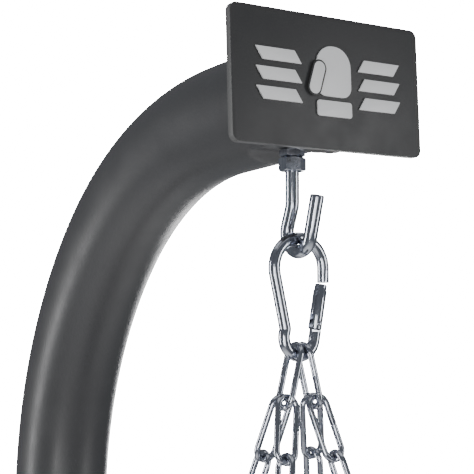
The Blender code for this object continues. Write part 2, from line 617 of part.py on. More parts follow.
def base_leg(name, toe, start_gap):
    """Box-section leg from the hub out to its toe, with end cap, foot and plate peg."""
    foot_in, peg_in, plug_depth = 0.06, 0.13, 0.012
    hub = Vector((0, MAST_Y))
    along = (toe - hub).normalized()
    width, height, wall = LEG_TUBE
    length = (toe - hub).length - start_gap
    middle = hub + along * (start_gap + length / 2)
    low = FOOT_HEIGHT + GAP
    frame = Matrix.Translation((middle.x, middle.y, low + height / 2)) @ Matrix.Rotation(
        Vector((1, 0)).angle_signed(along, 0) * -1, 4, "Z")
    bm = box((length, width, height))
    ends = [f for f in bm.faces if abs(f.normal.x) > 0.9]
    bmesh.ops.delete(bm, geom=ends, context="FACES_ONLY")
    tube = add(name, bm, FINISH["powder"], frame)
    shell = tube.modifiers.new("Wall", "SOLIDIFY")
    shell.thickness = wall
    shell.offset = -1
    shell.use_even_offset = True
    cap = box((CAP_THICK, width, height), (length / 2 + GAP + CAP_THICK / 2, 0, 0))
    inner = [f for f in cap.faces if f.normal.x < -0.9]
    bmesh.ops.inset_region(cap, faces=inner, thickness=wall + 0.0005, use_even_offset=True)
    plug = bmesh.ops.extrude_discrete_faces(cap, faces=inner)["faces"]
    bmesh.ops.translate(cap, vec=(-plug_depth, 0, 0), verts=list({v for f in plug for v in f.verts}))
    add(name + "_cap", cap, FINISH["rubber"], frame)
    foot = turned([(0, 0), (0.033, 0), (0.036, 0.004), (0.028, FOOT_HEIGHT), (0, FOOT_HEIGHT)], 16)
    spot = toe - along * foot_in
    add(name + "_foot", foot, FINISH["rubber"], Matrix.Translation((spot.x, spot.y, 0)))
    spot = toe - along * peg_in
    peg = turned([(0, 0), (0.026, 0), (0.026, 0.005), (PEG_R, 0.005), (PEG_R, PEG_HEIGHT - 0.003),
                  (PEG_R - 0.003, PEG_HEIGHT), (0, PEG_HEIGHT)], 16)
    add(name + "_peg", peg, FINISH["powder"], Matrix.Translation((spot.x, spot.y, low + height + GAP)))


def base():
    hub = Vector((0, MAST_Y))
    along = (FRONT_TOE - hub).normalized()
    front_reach = -FRONT_TOE.y - along.y * (GAP + CAP_THICK) + along.x * LEG_TUBE[0] / 2
    for side, name in ((-1, "left"), (1, "right")):
        base_leg(f"front_leg_{name}", Vector((side * FRONT_TOE.x, FRONT_TOE.y)), 0.075)
    base_leg("rear_leg", Vector((0, front_reach - GAP - CAP_THICK)), 0.045)
    width, depth, thick = HUB_SIZE
    hub = slab(rounded_rectangle(width, depth, 0.03), thick)
    place = Matrix.Translation((0, MAST_Y, HUB_TOP_Z - thick / 2)) @ Matrix.Rotation(-pi / 2, 4, "X")
    add("hub_plate", hub, FINISH["powder"], place)


def main():
    stand_tubes()
    sign()
    hook_bolt()
    snap_hook()
    base()
    bends = top_links()
    rim_z = 0
    for side_x, x_name in ((-1, "left"), (1, "right")):
        for side_y, y_name in ((-1, "front"), (1, "rear")):
            start, down, bar = leg_ends(bends[side_x], side_x, side_y)
            outward = Vector((side_x, side_y, 0)).normalized()
            where = f"{y_name}_{x_name}"
            chain_leg(f"chain_leg_{where}", start, down, outward)
            across = down.cross(outward).normalized()
            add(f"bag_ring_{where}", ring_mesh("ring"), FINISH["steel"], frame_matrix(bar, across, -down))
            bag_strap(f"bag_strap_{where}", bar, outward)
            rim_z = bar.z - RIM_DROP
    bag(rim_z)
    bottom_ring(rim_z)


main()
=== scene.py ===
"""Looks of a punching bag on its gooseneck stand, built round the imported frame.

Metres, +Z up. The sign plate faces -Y, and the bag hangs from a hook behind it.
"""

import json
from math import acos, atan2, cos, pi, radians, sin, sqrt, tan

import bmesh
import bpy
from mathutils import Matrix, Vector, noise


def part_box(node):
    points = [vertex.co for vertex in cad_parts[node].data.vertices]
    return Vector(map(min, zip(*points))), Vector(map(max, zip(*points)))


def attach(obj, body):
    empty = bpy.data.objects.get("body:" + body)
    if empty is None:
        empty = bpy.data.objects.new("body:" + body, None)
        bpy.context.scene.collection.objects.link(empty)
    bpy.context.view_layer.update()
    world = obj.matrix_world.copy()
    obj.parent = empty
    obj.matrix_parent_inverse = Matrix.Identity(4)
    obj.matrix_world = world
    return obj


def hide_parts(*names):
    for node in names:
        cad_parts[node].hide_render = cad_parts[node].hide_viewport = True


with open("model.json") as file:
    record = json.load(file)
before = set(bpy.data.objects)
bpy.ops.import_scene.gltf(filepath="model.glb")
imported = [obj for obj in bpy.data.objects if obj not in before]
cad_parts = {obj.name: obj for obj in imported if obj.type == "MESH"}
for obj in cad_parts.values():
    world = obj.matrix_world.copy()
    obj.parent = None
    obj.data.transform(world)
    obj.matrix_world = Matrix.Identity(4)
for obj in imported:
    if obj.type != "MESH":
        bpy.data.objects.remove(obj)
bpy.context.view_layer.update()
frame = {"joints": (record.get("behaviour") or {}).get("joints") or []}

JOINT_AT = {joint["name"]: Vector(joint["pos_m"]) for joint in frame["joints"]}
GAP = 0.0003
X, Y, Z = Vector((1, 0, 0)), Vector((0, 1, 0)), Vector((0, 0, 1))
UPRIGHT = Matrix.Rotation(pi / 2, 4, "X")     # stands a shape drawn in XY up, facing -Y


def middle(node):
    low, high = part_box(node)
    return (low + high) / 2


def size(node):
    low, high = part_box(node)
    return high - low


def at(x, y, z):
    return Matrix.Translation((x, y, z))


def add(name, data):
    obj = bpy.data.objects.new(name, data)
    bpy.context.scene.collection.objects.link(obj)
    return obj


def to_mesh(name, bm):
    """Turns a bmesh into a mesh and frees it."""
    mesh = bpy.data.meshes.new(name)
    bm.to_mesh(mesh)
    bm.free()
    return mesh


# Places, read from the frame
MAST = middle("mast_tube")
MAST.z = 0
TUBE_R = size("mast_tube").x / 2
TUBE_WALL = 0.0032
ARM_SLOPE = radians(2.7)
ARM_BACK = Vector((0, cos(ARM_SLOPE), -sin(ARM_SLOPE)))
ARM_UP = Vector((0, sin(ARM_SLOPE), cos(ARM_SLOPE)))
SIGN_THICK = 0.006
SIGN_BACK = middle("sign_plate") + ARM_BACK * SIGN_THICK / 2
SIGN_PLACE = Matrix.Translation(SIGN_BACK) @ Matrix.Rotation(-ARM_SLOPE, 4, "X")
HOOK_Y = middle("hook_lower_nut").y
HOOK_BAR = JOINT_AT["side_swing"]
EYE_BAR = JOINT_AT["fore_aft_swing"]
PIN = JOINT_AT["gate_open"]
RING_BAR = JOINT_AT["tether_ring_swing"]
BAG_LOW, BAG_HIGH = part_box("bag_cover")
BAG_R = (BAG_HIGH.x - BAG_LOW.x) / 2
BAG_AXIS = Vector((0, EYE_BAR.y, 0))
ON_MAST = Matrix.Translation(MAST)
ON_BAG = Matrix.Translation(BAG_AXIS)
HUB_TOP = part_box("hub_plate")[1].z
CORNERS = [(x, y) for x in (-1, 1) for y in (-1, 1)]


def corner_name(side_x, side_y):
    return f"{'front' if side_y < 0 else 'rear'}_{'left' if side_x < 0 else 'right'}"


# ---------------------------------------------------------------- camera, light and floor

def camera():
    data = bpy.data.cameras.new("camera")
    data.lens = 96.15
    data.sensor_width = 36
    data.clip_start, data.clip_end = 0.05, 100
    eye = add("camera", data)
    turn, pitch = 0.5889, 0.0662
    forward = Vector((sin(turn) * cos(pitch), cos(turn) * cos(pitch), sin(pitch)))
    eye.location = SIGN_BACK + Vector((-0.5547, -0.7166, -0.1703))
    eye.rotation_euler = forward.to_track_quat("-Z", "Y").to_euler()
    bpy.context.scene.camera = eye


def softbox(name, spot, aim, width, height, power):
    data = bpy.data.lights.new(name, "AREA")
    data.shape = "RECTANGLE"
    data.size, data.size_y = width, height
    data.energy = power
    lamp = add(name, data)
    lamp.location = spot
    lamp.rotation_euler = (Vector(aim) - Vector(spot)).to_track_quat("-Z", "Y").to_euler()
    lamp.visible_camera = False


def studio():
    """A grey room seen as white, so that the bright steel has something dark to reflect."""
    world = bpy.data.worlds.new("studio")
    world.use_nodes = True
    nodes, links = world.node_tree.nodes, world.node_tree.links
    nodes.clear()
    out = nodes.new("ShaderNodeOutputWorld")
    room, white = nodes.new("ShaderNodeBackground"), nodes.new("ShaderNodeBackground")
    room.inputs["Color"].default_value = (0.60, 0.64, 0.70, 1)
    room.inputs["Strength"].default_value = 0.27
    white.inputs["Strength"].default_value = 40.0
    rays, blend = nodes.new("ShaderNodeLightPath"), nodes.new("ShaderNodeMixShader")
    links.new(rays.outputs["Is Camera Ray"], blend.inputs[0])
    links.new(room.outputs[0], blend.inputs[1])
    links.new(white.outputs[0], blend.inputs[2])
    links.new(blend.outputs[0], out.inputs["Surface"])
    bpy.context.scene.world = world
    softbox("key_light", (-2.6, -2.6, 1.2), (0, 0, 1.4), 0.20, 2.2, 34)
    softbox("fill_light", (2.4, -3.0, 1.6), (0, 0, 1.6), 0.5, 2.6, 44)
    softbox("back_light", (2.8, 2.6, 1.7), (0, 0, 1.6), 0.5, 2.8, 50)
    softbox("rim_light", (-3.2, 1.6, 1.6), (0, 0, 1.5), 0.3, 2.8, 75)
    softbox("front_light", (-1.9, -3.4, 1.3), (0, 0, 1.8), 1.6, 1.6, 34)
    softbox("top_light", (0, 0, 5.2), (0, 0, 0), 5.0, 5.0, 60)


def ground():
    """A pale round floor that fades out with distance, so that no horizon shows."""
    bm = bmesh.new()
    bmesh.ops.create_circle(bm, cap_ends=True, radius=9, segments=96)
    bmesh.ops.translate(bm, vec=(0, 0, -0.0005), verts=bm.verts)
    floor = add("studio_floor", to_mesh("studio_floor", bm))
    pale = Recipe("pale_floor", Emission_Color=(1, 1, 1, 1), Emission_Strength=0.55)
    reach = pale.node("VectorMath", {0: pale.place}, operation="LENGTH").outputs["Value"]
    full, gone = 0.7, 3.2
    fade = pale.node("MapRange", {"Value": reach, "From Min": full, "From Max": gone,
                                  "To Min": 1.0, "To Max": 0.0}, interpolation_type="SMOOTHSTEP")
    pale.put(fade.outputs["Result"], pale.shader.inputs["Alpha"])
    floor.data.materials.append(pale.finish((0.82, 0.82, 0.82, 1), 0.9))


# ---------------------------------------------------------------- materials

class Recipe:
    """A material under construction, with short ways to add its usual nodes."""

    def __init__(self, name, metallic=0.0, **fixed):
        self.made = bpy.data.materials.new(name)
        self.made.use_nodes = True
        self.nodes, self.links = self.made.node_tree.nodes, self.made.node_tree.links
        self.shader = self.nodes["Principled BSDF"]
        self.shader.inputs["Metallic"].default_value = metallic
        for socket, value in fixed.items():
            self.shader.inputs[socket.replace("_", " ")].default_value = value
        self.place = self.nodes.new("ShaderNodeTexCoord").outputs["Object"]

    def put(self, value, socket):
        if isinstance(value, bpy.types.NodeSocket):
            self.links.new(value, socket)
        else:
            socket.default_value = value

    def node(self, kind, inputs, **settings):
        made = self.nodes.new("ShaderNode" + kind)
        for name, value in settings.items():
            setattr(made, name, value)
        for socket, value in inputs.items():
            self.put(value, made.inputs[socket])
        return made

    def stretched(self, scale):
        return self.node("Mapping", {"Scale": scale, "Vector": self.place}).outputs[0]

    def clouds(self, scale, detail, roughness=0.55, place=None):
        inputs = {"Scale": scale, "Detail": detail, "Roughness": roughness, "Vector": place or self.place}
        return self.node("TexNoise", inputs).outputs["Fac"]

    def cells(self, scale):
        inputs = {"Scale": scale, "Vector": self.place}
        return self.node("TexVoronoi", inputs, feature="SMOOTH_F1").outputs["Distance"]

    def span(self, value, low, high, to_low, to_high):
        return self.node("MapRange", {0: value, 1: low, 2: high, 3: to_low, 4: to_high}).outputs[0]

    def sum(self, first, second, operation="ADD"):
        return self.node("Math", {0: first, 1: second}, operation=operation).outputs[0]

    def between(self, factor, first, second):
        first, second = [(*tone, 1) if isinstance(tone, tuple) else tone for tone in (first, second)]
        return self.node("Mix", {"Factor": factor, 6: first, 7: second}, data_type="RGBA").outputs[2]

    def bump(self, height, depth, strength):
        node = self.node("Bump", {"Strength": strength, "Distance": depth, "Height": height})
        self.put(node.outputs[0], self.shader.inputs["Normal"])

    def finish(self, colour, rough):
        self.put(colour, self.shader.inputs["Base Color"])
        self.put(rough, self.shader.inputs["Roughness"])
        return self.made


def powder_coat():
    """Satin charcoal powder coat: orange peel, faint cloudiness, a few lighter rubs."""
    coat = Recipe("powder_coat", Specular_IOR_Level=0.5)
    shade = coat.between(coat.clouds(4.0, 4), (0.046, 0.046, 0.048), (0.058, 0.058, 0.061))
    rubs = coat.span(coat.clouds(19.0, 6, 0.7), 0.66, 0.80, 0.0, 0.35)
    colour = coat.between(rubs, shade, (0.095, 0.095, 0.098))
    rough = coat.span(coat.clouds(30.0, 4), 0.3, 0.7, 0.33, 0.43)
    coat.bump(coat.clouds(620.0, 2), 0.00012, 0.5)
    return coat.finish(colour, rough)


def sign_paint(name, dark, light):
    paint = Recipe(name, Specular_IOR_Level=0.45)
    colour = paint.between(paint.clouds(14.0, 4), dark, light)
    rough = paint.span(paint.clouds(45.0, 4), 0.3, 0.7, 0.40, 0.52)
    paint.bump(paint.clouds(900.0, 2), 0.00006, 0.4)
    return paint.finish(colour, rough)


def zinc_plate():
    """Bright zinc: bluish, drawn along the wire, with fine scratches and dull patches."""
    zinc = Recipe("zinc_plate", metallic=1.0)
    streaks = zinc.clouds(1.0, 4, 0.6, zinc.stretched((700, 700, 45)))
    patches = zinc.clouds(190.0, 5, 0.65)
    tone = zinc.between(streaks, (0.36, 0.38, 0.43), (0.56, 0.58, 0.64))
    colour = zinc.between(zinc.span(patches, 0.52, 0.70, 0.0, 0.55), tone, (0.24, 0.26, 0.30))
    rough = zinc.sum(zinc.span(streaks, 0.3, 0.7, 0.09, 0.17), zinc.span(patches, 0.45, 0.7, 0.0, 0.09))
    zinc.bump(zinc.sum(streaks, patches), 0.00005, 0.22)
    return zinc.finish(colour, rough)


def moulded_rubber():
    rubber = Recipe("moulded_rubber", Specular_IOR_Level=0.4)
    colour = rubber.between(rubber.clouds(60.0, 5), (0.016, 0.016, 0.016), (0.034, 0.034, 0.033))
    rough = rubber.span(rubber.clouds(200.0, 3), 0.3, 0.7, 0.66, 0.84)
    rubber.bump(rubber.clouds(1400.0, 2), 0.0001, 0.6)
    return rubber.finish(colour, rough)


def grained_leather():
    """Black synthetic leather: pebbled grain, shine where it is rubbed, greyer scuffs."""
    hide = Recipe("grained_leather", Specular_IOR_Level=0.5)
    pebbles = hide.cells(520.0)
    creases = hide.clouds(1.0, 6, 0.7, hide.stretched((34, 34, 90)))
    worn = hide.span(hide.clouds(7.0, 5, 0.65), 0.45, 0.75, 0.0, 1.0)
    colour = hide.between(worn, (0.014, 0.014, 0.0145), (0.036, 0.036, 0.037))
    rough = hide.sum(hide.span(pebbles, 0.0, 0.8, 0.30, 0.52), hide.span(worn, 0.0, 1.0, 0.06, -0.03))
    hide.bump(hide.sum(pebbles, hide.span(creases, 0.4, 0.6, 0.0, 0.8)), 0.0005, 0.5)
    return hide.finish(colour, rough)


def woven_webbing():
    """Black nylon webbing. Its pattern follows the strap: the map's units are millimetres."""
    weave = Recipe("woven_webbing", Specular_IOR_Level=0.35, Sheen_Weight=0.25)
    uv = weave.nodes.new("ShaderNodeTexCoord").outputs["UV"]
    parts = weave.node("SeparateXYZ", {0: uv})
    across, along = [weave.sum(weave.sum(part, 2 * pi / pitch, "MULTIPLY"), 0.0, "SINE")
                     for part, pitch in zip(parts.outputs, (1.7, 2.4))]
    crossing = weave.sum(across, along, "MULTIPLY")
    fuzz = weave.clouds(900.0, 4)
    colour = weave.between(weave.span(weave.sum(crossing, fuzz), -0.6, 1.4, 0.0, 1.0),
                           (0.010, 0.010, 0.011), (0.045, 0.045, 0.048))
    weave.bump(weave.sum(crossing, fuzz), 0.0004, 0.8)
    return weave.finish(colour, weave.span(fuzz, 0.3, 0.7, 0.70, 0.90))


def sewing_thread():
    thread = Recipe("sewing_thread", Specular_IOR_Level=0.4)
    twist = thread.clouds(2500.0, 2)
    thread.bump(twist, 0.0001, 0.6)
    return thread.finish(thread.between(twist, (0.16, 0.16, 0.165), (0.30, 0.30, 0.31)), 0.62)


def rag_filling():
    rag = Recipe("rag_filling", Specular_IOR_Level=0.2)
    tufts = rag.clouds(90.0, 6, 0.7)
    rag.bump(tufts, 0.003, 0.8)
    return rag.finish(rag.between(tufts, (0.16, 0.15, 0.14), (0.42, 0.40, 0.37)), 0.95)


FINISH = {
    "powder": powder_coat(),
    "sign": sign_paint("sign_paint", (0.034, 0.034, 0.035), (0.042, 0.042, 0.043)),
    # The edge colour is lighter than the face: a painted highlight along the plate's bevelled rim, over its
    # dark paint.
    "sign_edge": sign_paint("sign_edge_painted_highlight", (0.06, 0.06, 0.06), (0.13, 0.13, 0.13)),
    "emblem": sign_paint("emblem_enamel", (0.74, 0.74, 0.74), (0.84, 0.84, 0.84)),
    "zinc": zinc_plate(),
    "rubber": moulded_rubber(),
    "leather": grained_leather(),
    "webbing": woven_webbing(),
    "thread": sewing_thread(),
    "filling": rag_filling(),
}


# ---------------------------------------------------------------- mesh tools

SMOOTH_UNDER = radians(32)
BEVEL_OVER = radians(40)


def piece(name, bm, body, slot, replaces=(), place=None, finish=None):
    """A finished object with its place in its mesh. It rides on a body and stands for CAD nodes."""
    if place is not None:
        bmesh.ops.transform(bm, matrix=place, verts=bm.verts)
    mesh = to_mesh(name, bm)
    for one in [finish or slot] if isinstance(finish or slot, str) else finish:
        mesh.materials.append(FINISH[one])
    mesh.shade_smooth()
    mesh.set_sharp_from_angle(angle=SMOOTH_UNDER)
    obj = add(name, mesh)
    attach(obj, body)
    if replaces:
        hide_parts(*replaces)
    return obj


def only(kind, geometry):
    return [item for item in geometry if isinstance(item, kind)]


def grow(bm, edges, shift):
    """Extrudes a chain or ring of edges, moves the new one and returns its edges."""
    made = bmesh.ops.extrude_edge_only(bm, edges=edges)["geom"]
    bmesh.ops.translate(bm, vec=shift, verts=only(bmesh.types.BMVert, made))
    return only(bmesh.types.BMEdge, made)


def swing(bm, edges, centre, axis, angle, steps):
    """Spins a ring of edges round a bend and returns the last ring's edges."""
    geom = edges + list({v for e in edges for v in e.verts})
    spun = bmesh.ops.spin(bm, geom=geom, cent=centre, axis=axis, angle=angle, steps=steps)
    return only(bmesh.types.BMEdge, spun["geom_last"])


def soften(bm, width, segments=2):
    sharp = [e for e in bm.edges if len(e.link_faces) == 2 and e.calc_face_angle(0) > BEVEL_OVER]
    bmesh.ops.bevel(bm, geom=sharp, offset=width, segments=segments, profile=0.5, affect="EDGES",
                    material=-1, clamp_overlap=True)


def tidy(bm):
    bmesh.ops.remove_doubles(bm, verts=bm.verts, dist=1e-6)
    bmesh.ops.recalc_face_normals(bm, faces=bm.faces)


def join(bm, other, place=None):
    """Adds another bmesh's shape and frees it."""
    if place is not None:
        bmesh.ops.transform(other, matrix=place, verts=other.verts)
    held = to_mesh("held", other)
    bm.from_mesh(held)
    bpy.data.meshes.remove(held)


def turned(profile, segments, bevel=0.0):
    """A solid turned about Z from (radius, z) points, which close on themselves or meet the axis."""
    bm = bmesh.new()
    points = [bm.verts.new((r, 0, z)) for r, z in profile]
    closed = profile[0][0] > 0
    edges = [bm.edges.new(pair) for pair in zip(points, points[1:] + points[:1] if closed else points[1:])]
    bmesh.ops.spin(bm, geom=points + edges, cent=(0, 0, 0), axis=Z, angle=2 * pi, steps=segments,
                   use_merge=True)
    tidy(bm)
    if bevel:
        soften(bm, bevel)
    return bm


def tube_profile(outer, inner, low, high):
    return [(outer, low), (outer, high), (inner, high), (inner, low)]


def hexagon(flats, height, bore=0.0):
    """A nut, or a bolt head without a bore: a chamfered drum with six flats cut from it."""
    corner, face, edge = flats / 2 / cos(pi / 6), flats / 2 * 0.94, 0.0008
    slope = (corner - face) * tan(radians(30))
    profile = [(face, 0), (corner, slope), (corner, height - slope), (face, height)]
    if bore:
        profile = [(bore, edge), (bore + edge, 0)] + profile + [(bore + edge, height), (bore, height - edge)]
    else:
        profile = [(0, 0)] + profile + [(0, height)]
    bm = turned(profile, 72)
    for number in range(6):
        out = Vector((cos(pi / 3 * number), sin(pi / 3 * number), 0))
        geom = bm.verts[:] + bm.edges[:] + bm.faces[:]
        cut = bmesh.ops.bisect_plane(bm, geom=geom, plane_co=out * flats / 2, plane_no=out, clear_outer=True)
        bmesh.ops.contextual_create(bm, geom=only(bmesh.types.BMEdge, cut["geom_cut"]))
    tidy(bm)
    return bm


def flat_plate(width, height, corner, thick, segments):
    """A plate with rounded corners in the XY plane, its thickness up from z = 0."""
    bm = bmesh.new()
    bmesh.ops.create_grid(bm, x_segments=1, y_segments=1, size=0.5)
    bmesh.ops.scale(bm, vec=(width, height, 1), verts=bm.verts)
    bmesh.ops.bevel(bm, geom=bm.verts[:], offset=corner, segments=segments, profile=0.5,
                    affect="VERTICES", material=-1)
    raise_faces(bm, bm.faces[:], (0, 0, thick))
    return bm


def raise_faces(bm, faces, shift):
    made = bmesh.ops.extrude_face_region(bm, geom=faces)["geom"]
    bmesh.ops.translate(bm, vec=shift, verts=only(bmesh.types.BMVert, made))
    bmesh.ops.recalc_face_normals(bm, faces=bm.faces)


def trace(start, heading, moves, arc_step=10):
    """Points of a flat route: (length,) runs straight, (radius, degrees) turns left, or right if negative."""
    x, y = start
    points = [(x, y)]
    for move in moves:
        radius, turn = move if len(move) == 2 else (0, 0)
        steps = max(1, round(abs(turn) / arc_step))
        run = 2 * radius * sin(radians(abs(turn) / steps / 2)) if turn else move[0]
        for _ in range(steps):
            heading += turn / steps / 2
            x += run * cos(radians(heading))
            y += run * sin(radians(heading))
            heading += turn / steps / 2
            points.append((x, y))
    return points


def outline_plate(points, thick):
    """A plate from an outline in the XY plane, its thickness up from z = 0."""
    bm = bmesh.new()
    bm.faces.new([bm.verts.new((x, y, 0)) for x, y in points])
    raise_faces(bm, bm.faces[:], (0, 0, thick))
    tidy(bm)
    return bm


def bent_wire(radius, moves, sides, loop=False, arc_step=9):
    """Round wire in the XZ plane from the origin along +X: moves as in trace, turning towards +Z."""
    bm = bmesh.new()
    ring = bmesh.ops.create_circle(bm, radius=radius, segments=sides)["verts"]
    bmesh.ops.rotate(bm, cent=(0, 0, 0), matrix=Matrix.Rotation(pi / 2, 3, "Y"), verts=ring)
    edges = bm.edges[:]
    spot, heading = Vector(), X
    for move in moves:
        if len(move) == 1:
            edges = grow(bm, edges, heading * move[0])
            spot = spot + heading * move[0]
            continue
        bend, turn = move
        left = Vector((-heading.z, 0, heading.x))
        centre = spot + left * (bend if turn > 0 else -bend)
        axis = -Y if turn > 0 else Y
        edges = swing(bm, edges, centre, axis, radians(abs(turn)), max(2, round(abs(turn) / arc_step)))
        rotation = Matrix.Rotation(radians(abs(turn)), 3, axis)
        spot, heading = centre + rotation @ (spot - centre), rotation @ heading
    if not loop:
        bmesh.ops.remove_doubles(bm, verts=bm.verts, dist=1e-6)
        caps = bmesh.ops.holes_fill(bm, edges=bm.edges[:], sides=0)["faces"]
        rims = [e for face in caps for e in face.edges]
        bmesh.ops.bevel(bm, geom=rims, offset=0.0006, segments=2, profile=0.5, affect="EDGES", material=-1)
    tidy(bm)
    return bm


def bead(radius, thick, ripples, segments=120):
    """A weld bead round the Z axis, with the ripples of its passes."""
    section = [(radius + thick * cos(a), thick * sin(a)) for a in (pi / 4 * n for n in range(8))]
    bm = turned(section, segments)
    for v in bm.verts:
        angle = atan2(v.co.y, v.co.x)
        centre = Vector((radius * cos(angle), radius * sin(angle), 0))
        v.co = centre + (v.co - centre) * (1 + 0.12 * sin(ripples * angle))
    return bm


def frame_matrix(origin, x_axis, z_axis):
    """A right-handed placement from an origin, an x direction and a z direction square to it."""
    columns = Matrix((x_axis, z_axis.cross(x_axis), z_axis)).transposed()
    return Matrix.Translation(origin) @ columns.to_4x4()


def carve(obj, cutter, operation="DIFFERENCE"):
    """Cuts a shape out of a piece, or melts it on, for good."""
    tool = add("cutter", to_mesh("cutter", cutter))
    modifier = obj.modifiers.new("Cut", "BOOLEAN")
    modifier.object, modifier.operation, modifier.solver = tool, operation, "EXACT"
    bpy.context.view_layer.update()
    graph = bpy.context.evaluated_depsgraph_get()
    cut = bpy.data.meshes.new_from_object(obj.evaluated_get(graph))
    obj.modifiers.clear()
    obj.data = cut
    cut.set_sharp_from_angle(angle=SMOOTH_UNDER)
    bpy.data.objects.remove(tool)


def block(size, place):
    bm = bmesh.new()
    bmesh.ops.create_cube(bm, size=1)
    bmesh.ops.scale(bm, vec=size, verts=bm.verts)
    bmesh.ops.transform(bm, matrix=place, verts=bm.verts)
    return bm


# ---------------------------------------------------------------- stand

NOSE_LENGTH = 0.1225
BENDS = ((0.298, radians(41.5)), (0.361, radians(45.8)))
NOSE_DROP = 0.0034     # the tube's axis meets the plate this far under its middle
SEAT_HALF = 0.014
TUBE_SEGMENTS = 96


def ease(t):
    t = min(1, max(0, t))
    return t * t * (3 - 2 * t)


def hollow(tube, thick):
    wall = tube.modifiers.new("Wall", "SOLIDIFY")
    wall.thickness, wall.offset, wall.use_even_offset = thick, -1, True


def arm():
    """The ring grows along the nose in short steps, then swings round both bends and drops to the mast."""
    nose_end = SIGN_BACK - Z * NOSE_DROP + ARM_BACK * GAP
    seat_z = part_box("hook_lock_nut")[1].z + GAP
    bm = bmesh.new()
    ring = bmesh.ops.create_circle(bm, radius=TUBE_R, segments=TUBE_SEGMENTS)["verts"]
    place = Matrix.Translation(nose_end) @ Matrix.Rotation(pi / 2 - ARM_SLOPE, 4, "X")
    bmesh.ops.transform(bm, matrix=place, verts=ring)
    edges = bm.edges[:]
    steps = 60
    for _ in range(steps):
        edges = grow(bm, edges, ARM_BACK * (NOSE_LENGTH - GAP) / steps)
    for v in bm.verts:
        pressed = ease(2 - abs(v.co.y - HOOK_Y) / SEAT_HALF)
        if v.co.z < seat_z:
            v.co.z += (seat_z - v.co.z) * pressed
    corner, up = SIGN_BACK - Z * NOSE_DROP + ARM_BACK * NOSE_LENGTH, ARM_UP
    for radius, angle in BENDS:
        centre = corner - up * radius
        edges = swing(bm, edges, centre, -X, angle, 36)
        rotation = Matrix.Rotation(angle, 3, -X)
        corner, up = centre + rotation @ (corner - centre), rotation @ up
    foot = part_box("arm_tube")[0].z
    steps = 24
    for _ in range(steps):
        edges = grow(bm, edges, Z * ((foot - corner.z) / steps))
    tidy(bm)
    hollow(piece("arm", bm, "stand", "powder", ["arm_tube"]), TUBE_WALL)
    collar = bead(TUBE_R + 0.0008, 0.0017, 64)
    place = Matrix.Translation(nose_end + ARM_BACK * 0.0014) @ Matrix.Rotation(pi / 2 - ARM_SLOPE, 4, "X")
    piece("sign_weld", collar, "stand", "powder", place=place)


def sign():
    """Painted plate tacked across the end of the arm; its rim's lighter colour is a painted highlight along
    the bevel over the same dark paint.
    """
    spread = size("sign_plate")
    bm = flat_plate(spread.x, spread.z / cos(ARM_SLOPE) - SIGN_THICK * tan(ARM_SLOPE), 0.006, SIGN_THICK, 10)
    for face in bm.faces:
        # Side faces take the lighter edge colour, a painted highlight along the rim.
        face.material_index = 1 if abs(face.normal.z) < 0.5 else 0
    soften(bm, 0.0007, 3)
    piece("sign_board", bm, "stand", "sign", ["sign_plate"], SIGN_PLACE @ UPRIGHT, ["sign", "sign_edge"])


def relief(points, thick, lift, bm, index):
    """One raised shape of the emblem, its edges softened."""
    shape = outline_plate(points, thick)
    soften(shape, 0.00045)
    for face in shape.faces:
        face.material_index = index
    join(bm, shape, at(0, 0, lift))


def rounded(left, low, width, height, low_corner, top_corner):
    """Outline of a rectangle with its own radius for the lower and for the upper corners."""
    side = height - low_corner - top_corner
    moves = [(width - 2 * low_corner,), (low_corner, 90), (side,), (top_corner, 90),
             (width - 2 * top_corner,), (top_corner, 90), (side,), (low_corner, 90)]
    return trace((left + low_corner, low), 0, moves)[:-1]


def emblem():
    """A plain boxing glove between three slanted stripes a side, raised from the plate."""
    bm = bmesh.new()
    relief(rounded(-0.0125, -0.0105, 0.031, 0.037, 0.008, 0.0145), 0.0016, 0, bm, 0)
    relief(rounded(-0.0125, -0.0250, 0.031, 0.0115, 0.002, 0.002), 0.0016, 0, bm, 0)
    run, lean = 0.015, 72
    for radius, lift, index in ((0.0062, 0.0013, 1), (0.0049, 0.0016, 0)):
        start = (-0.0150 + radius * sin(radians(lean)), -0.0050 - radius * cos(radians(lean)))
        thumb = trace(start, lean, [(run,), (radius, 180), (run,), (radius, 180)])[:-1]
        relief(thumb, 0.0009, lift, bm, index)
    for side in (-1, 1):
        for z in (0.0150, 0.0010, -0.0130):
            half, slant, near, far = 0.0046, 0.0030, 0.0285, 0.0620
            bar = [(near - slant, z - half), (far - slant, z - half), (far + slant, z + half),
                   (near + slant, z + half)]
            points = [(side * x, y) for x, y in bar]
            relief(points if side > 0 else points[::-1], 0.0016, 0, bm, 0)
    face = SIGN_PLACE @ (at(0, -SIGN_THICK - GAP / 3, 0) @ UPRIGHT)
    piece("glove_emblem", bm, "stand", "emblem", ["sign_emblem"], face, ["emblem", "sign"])


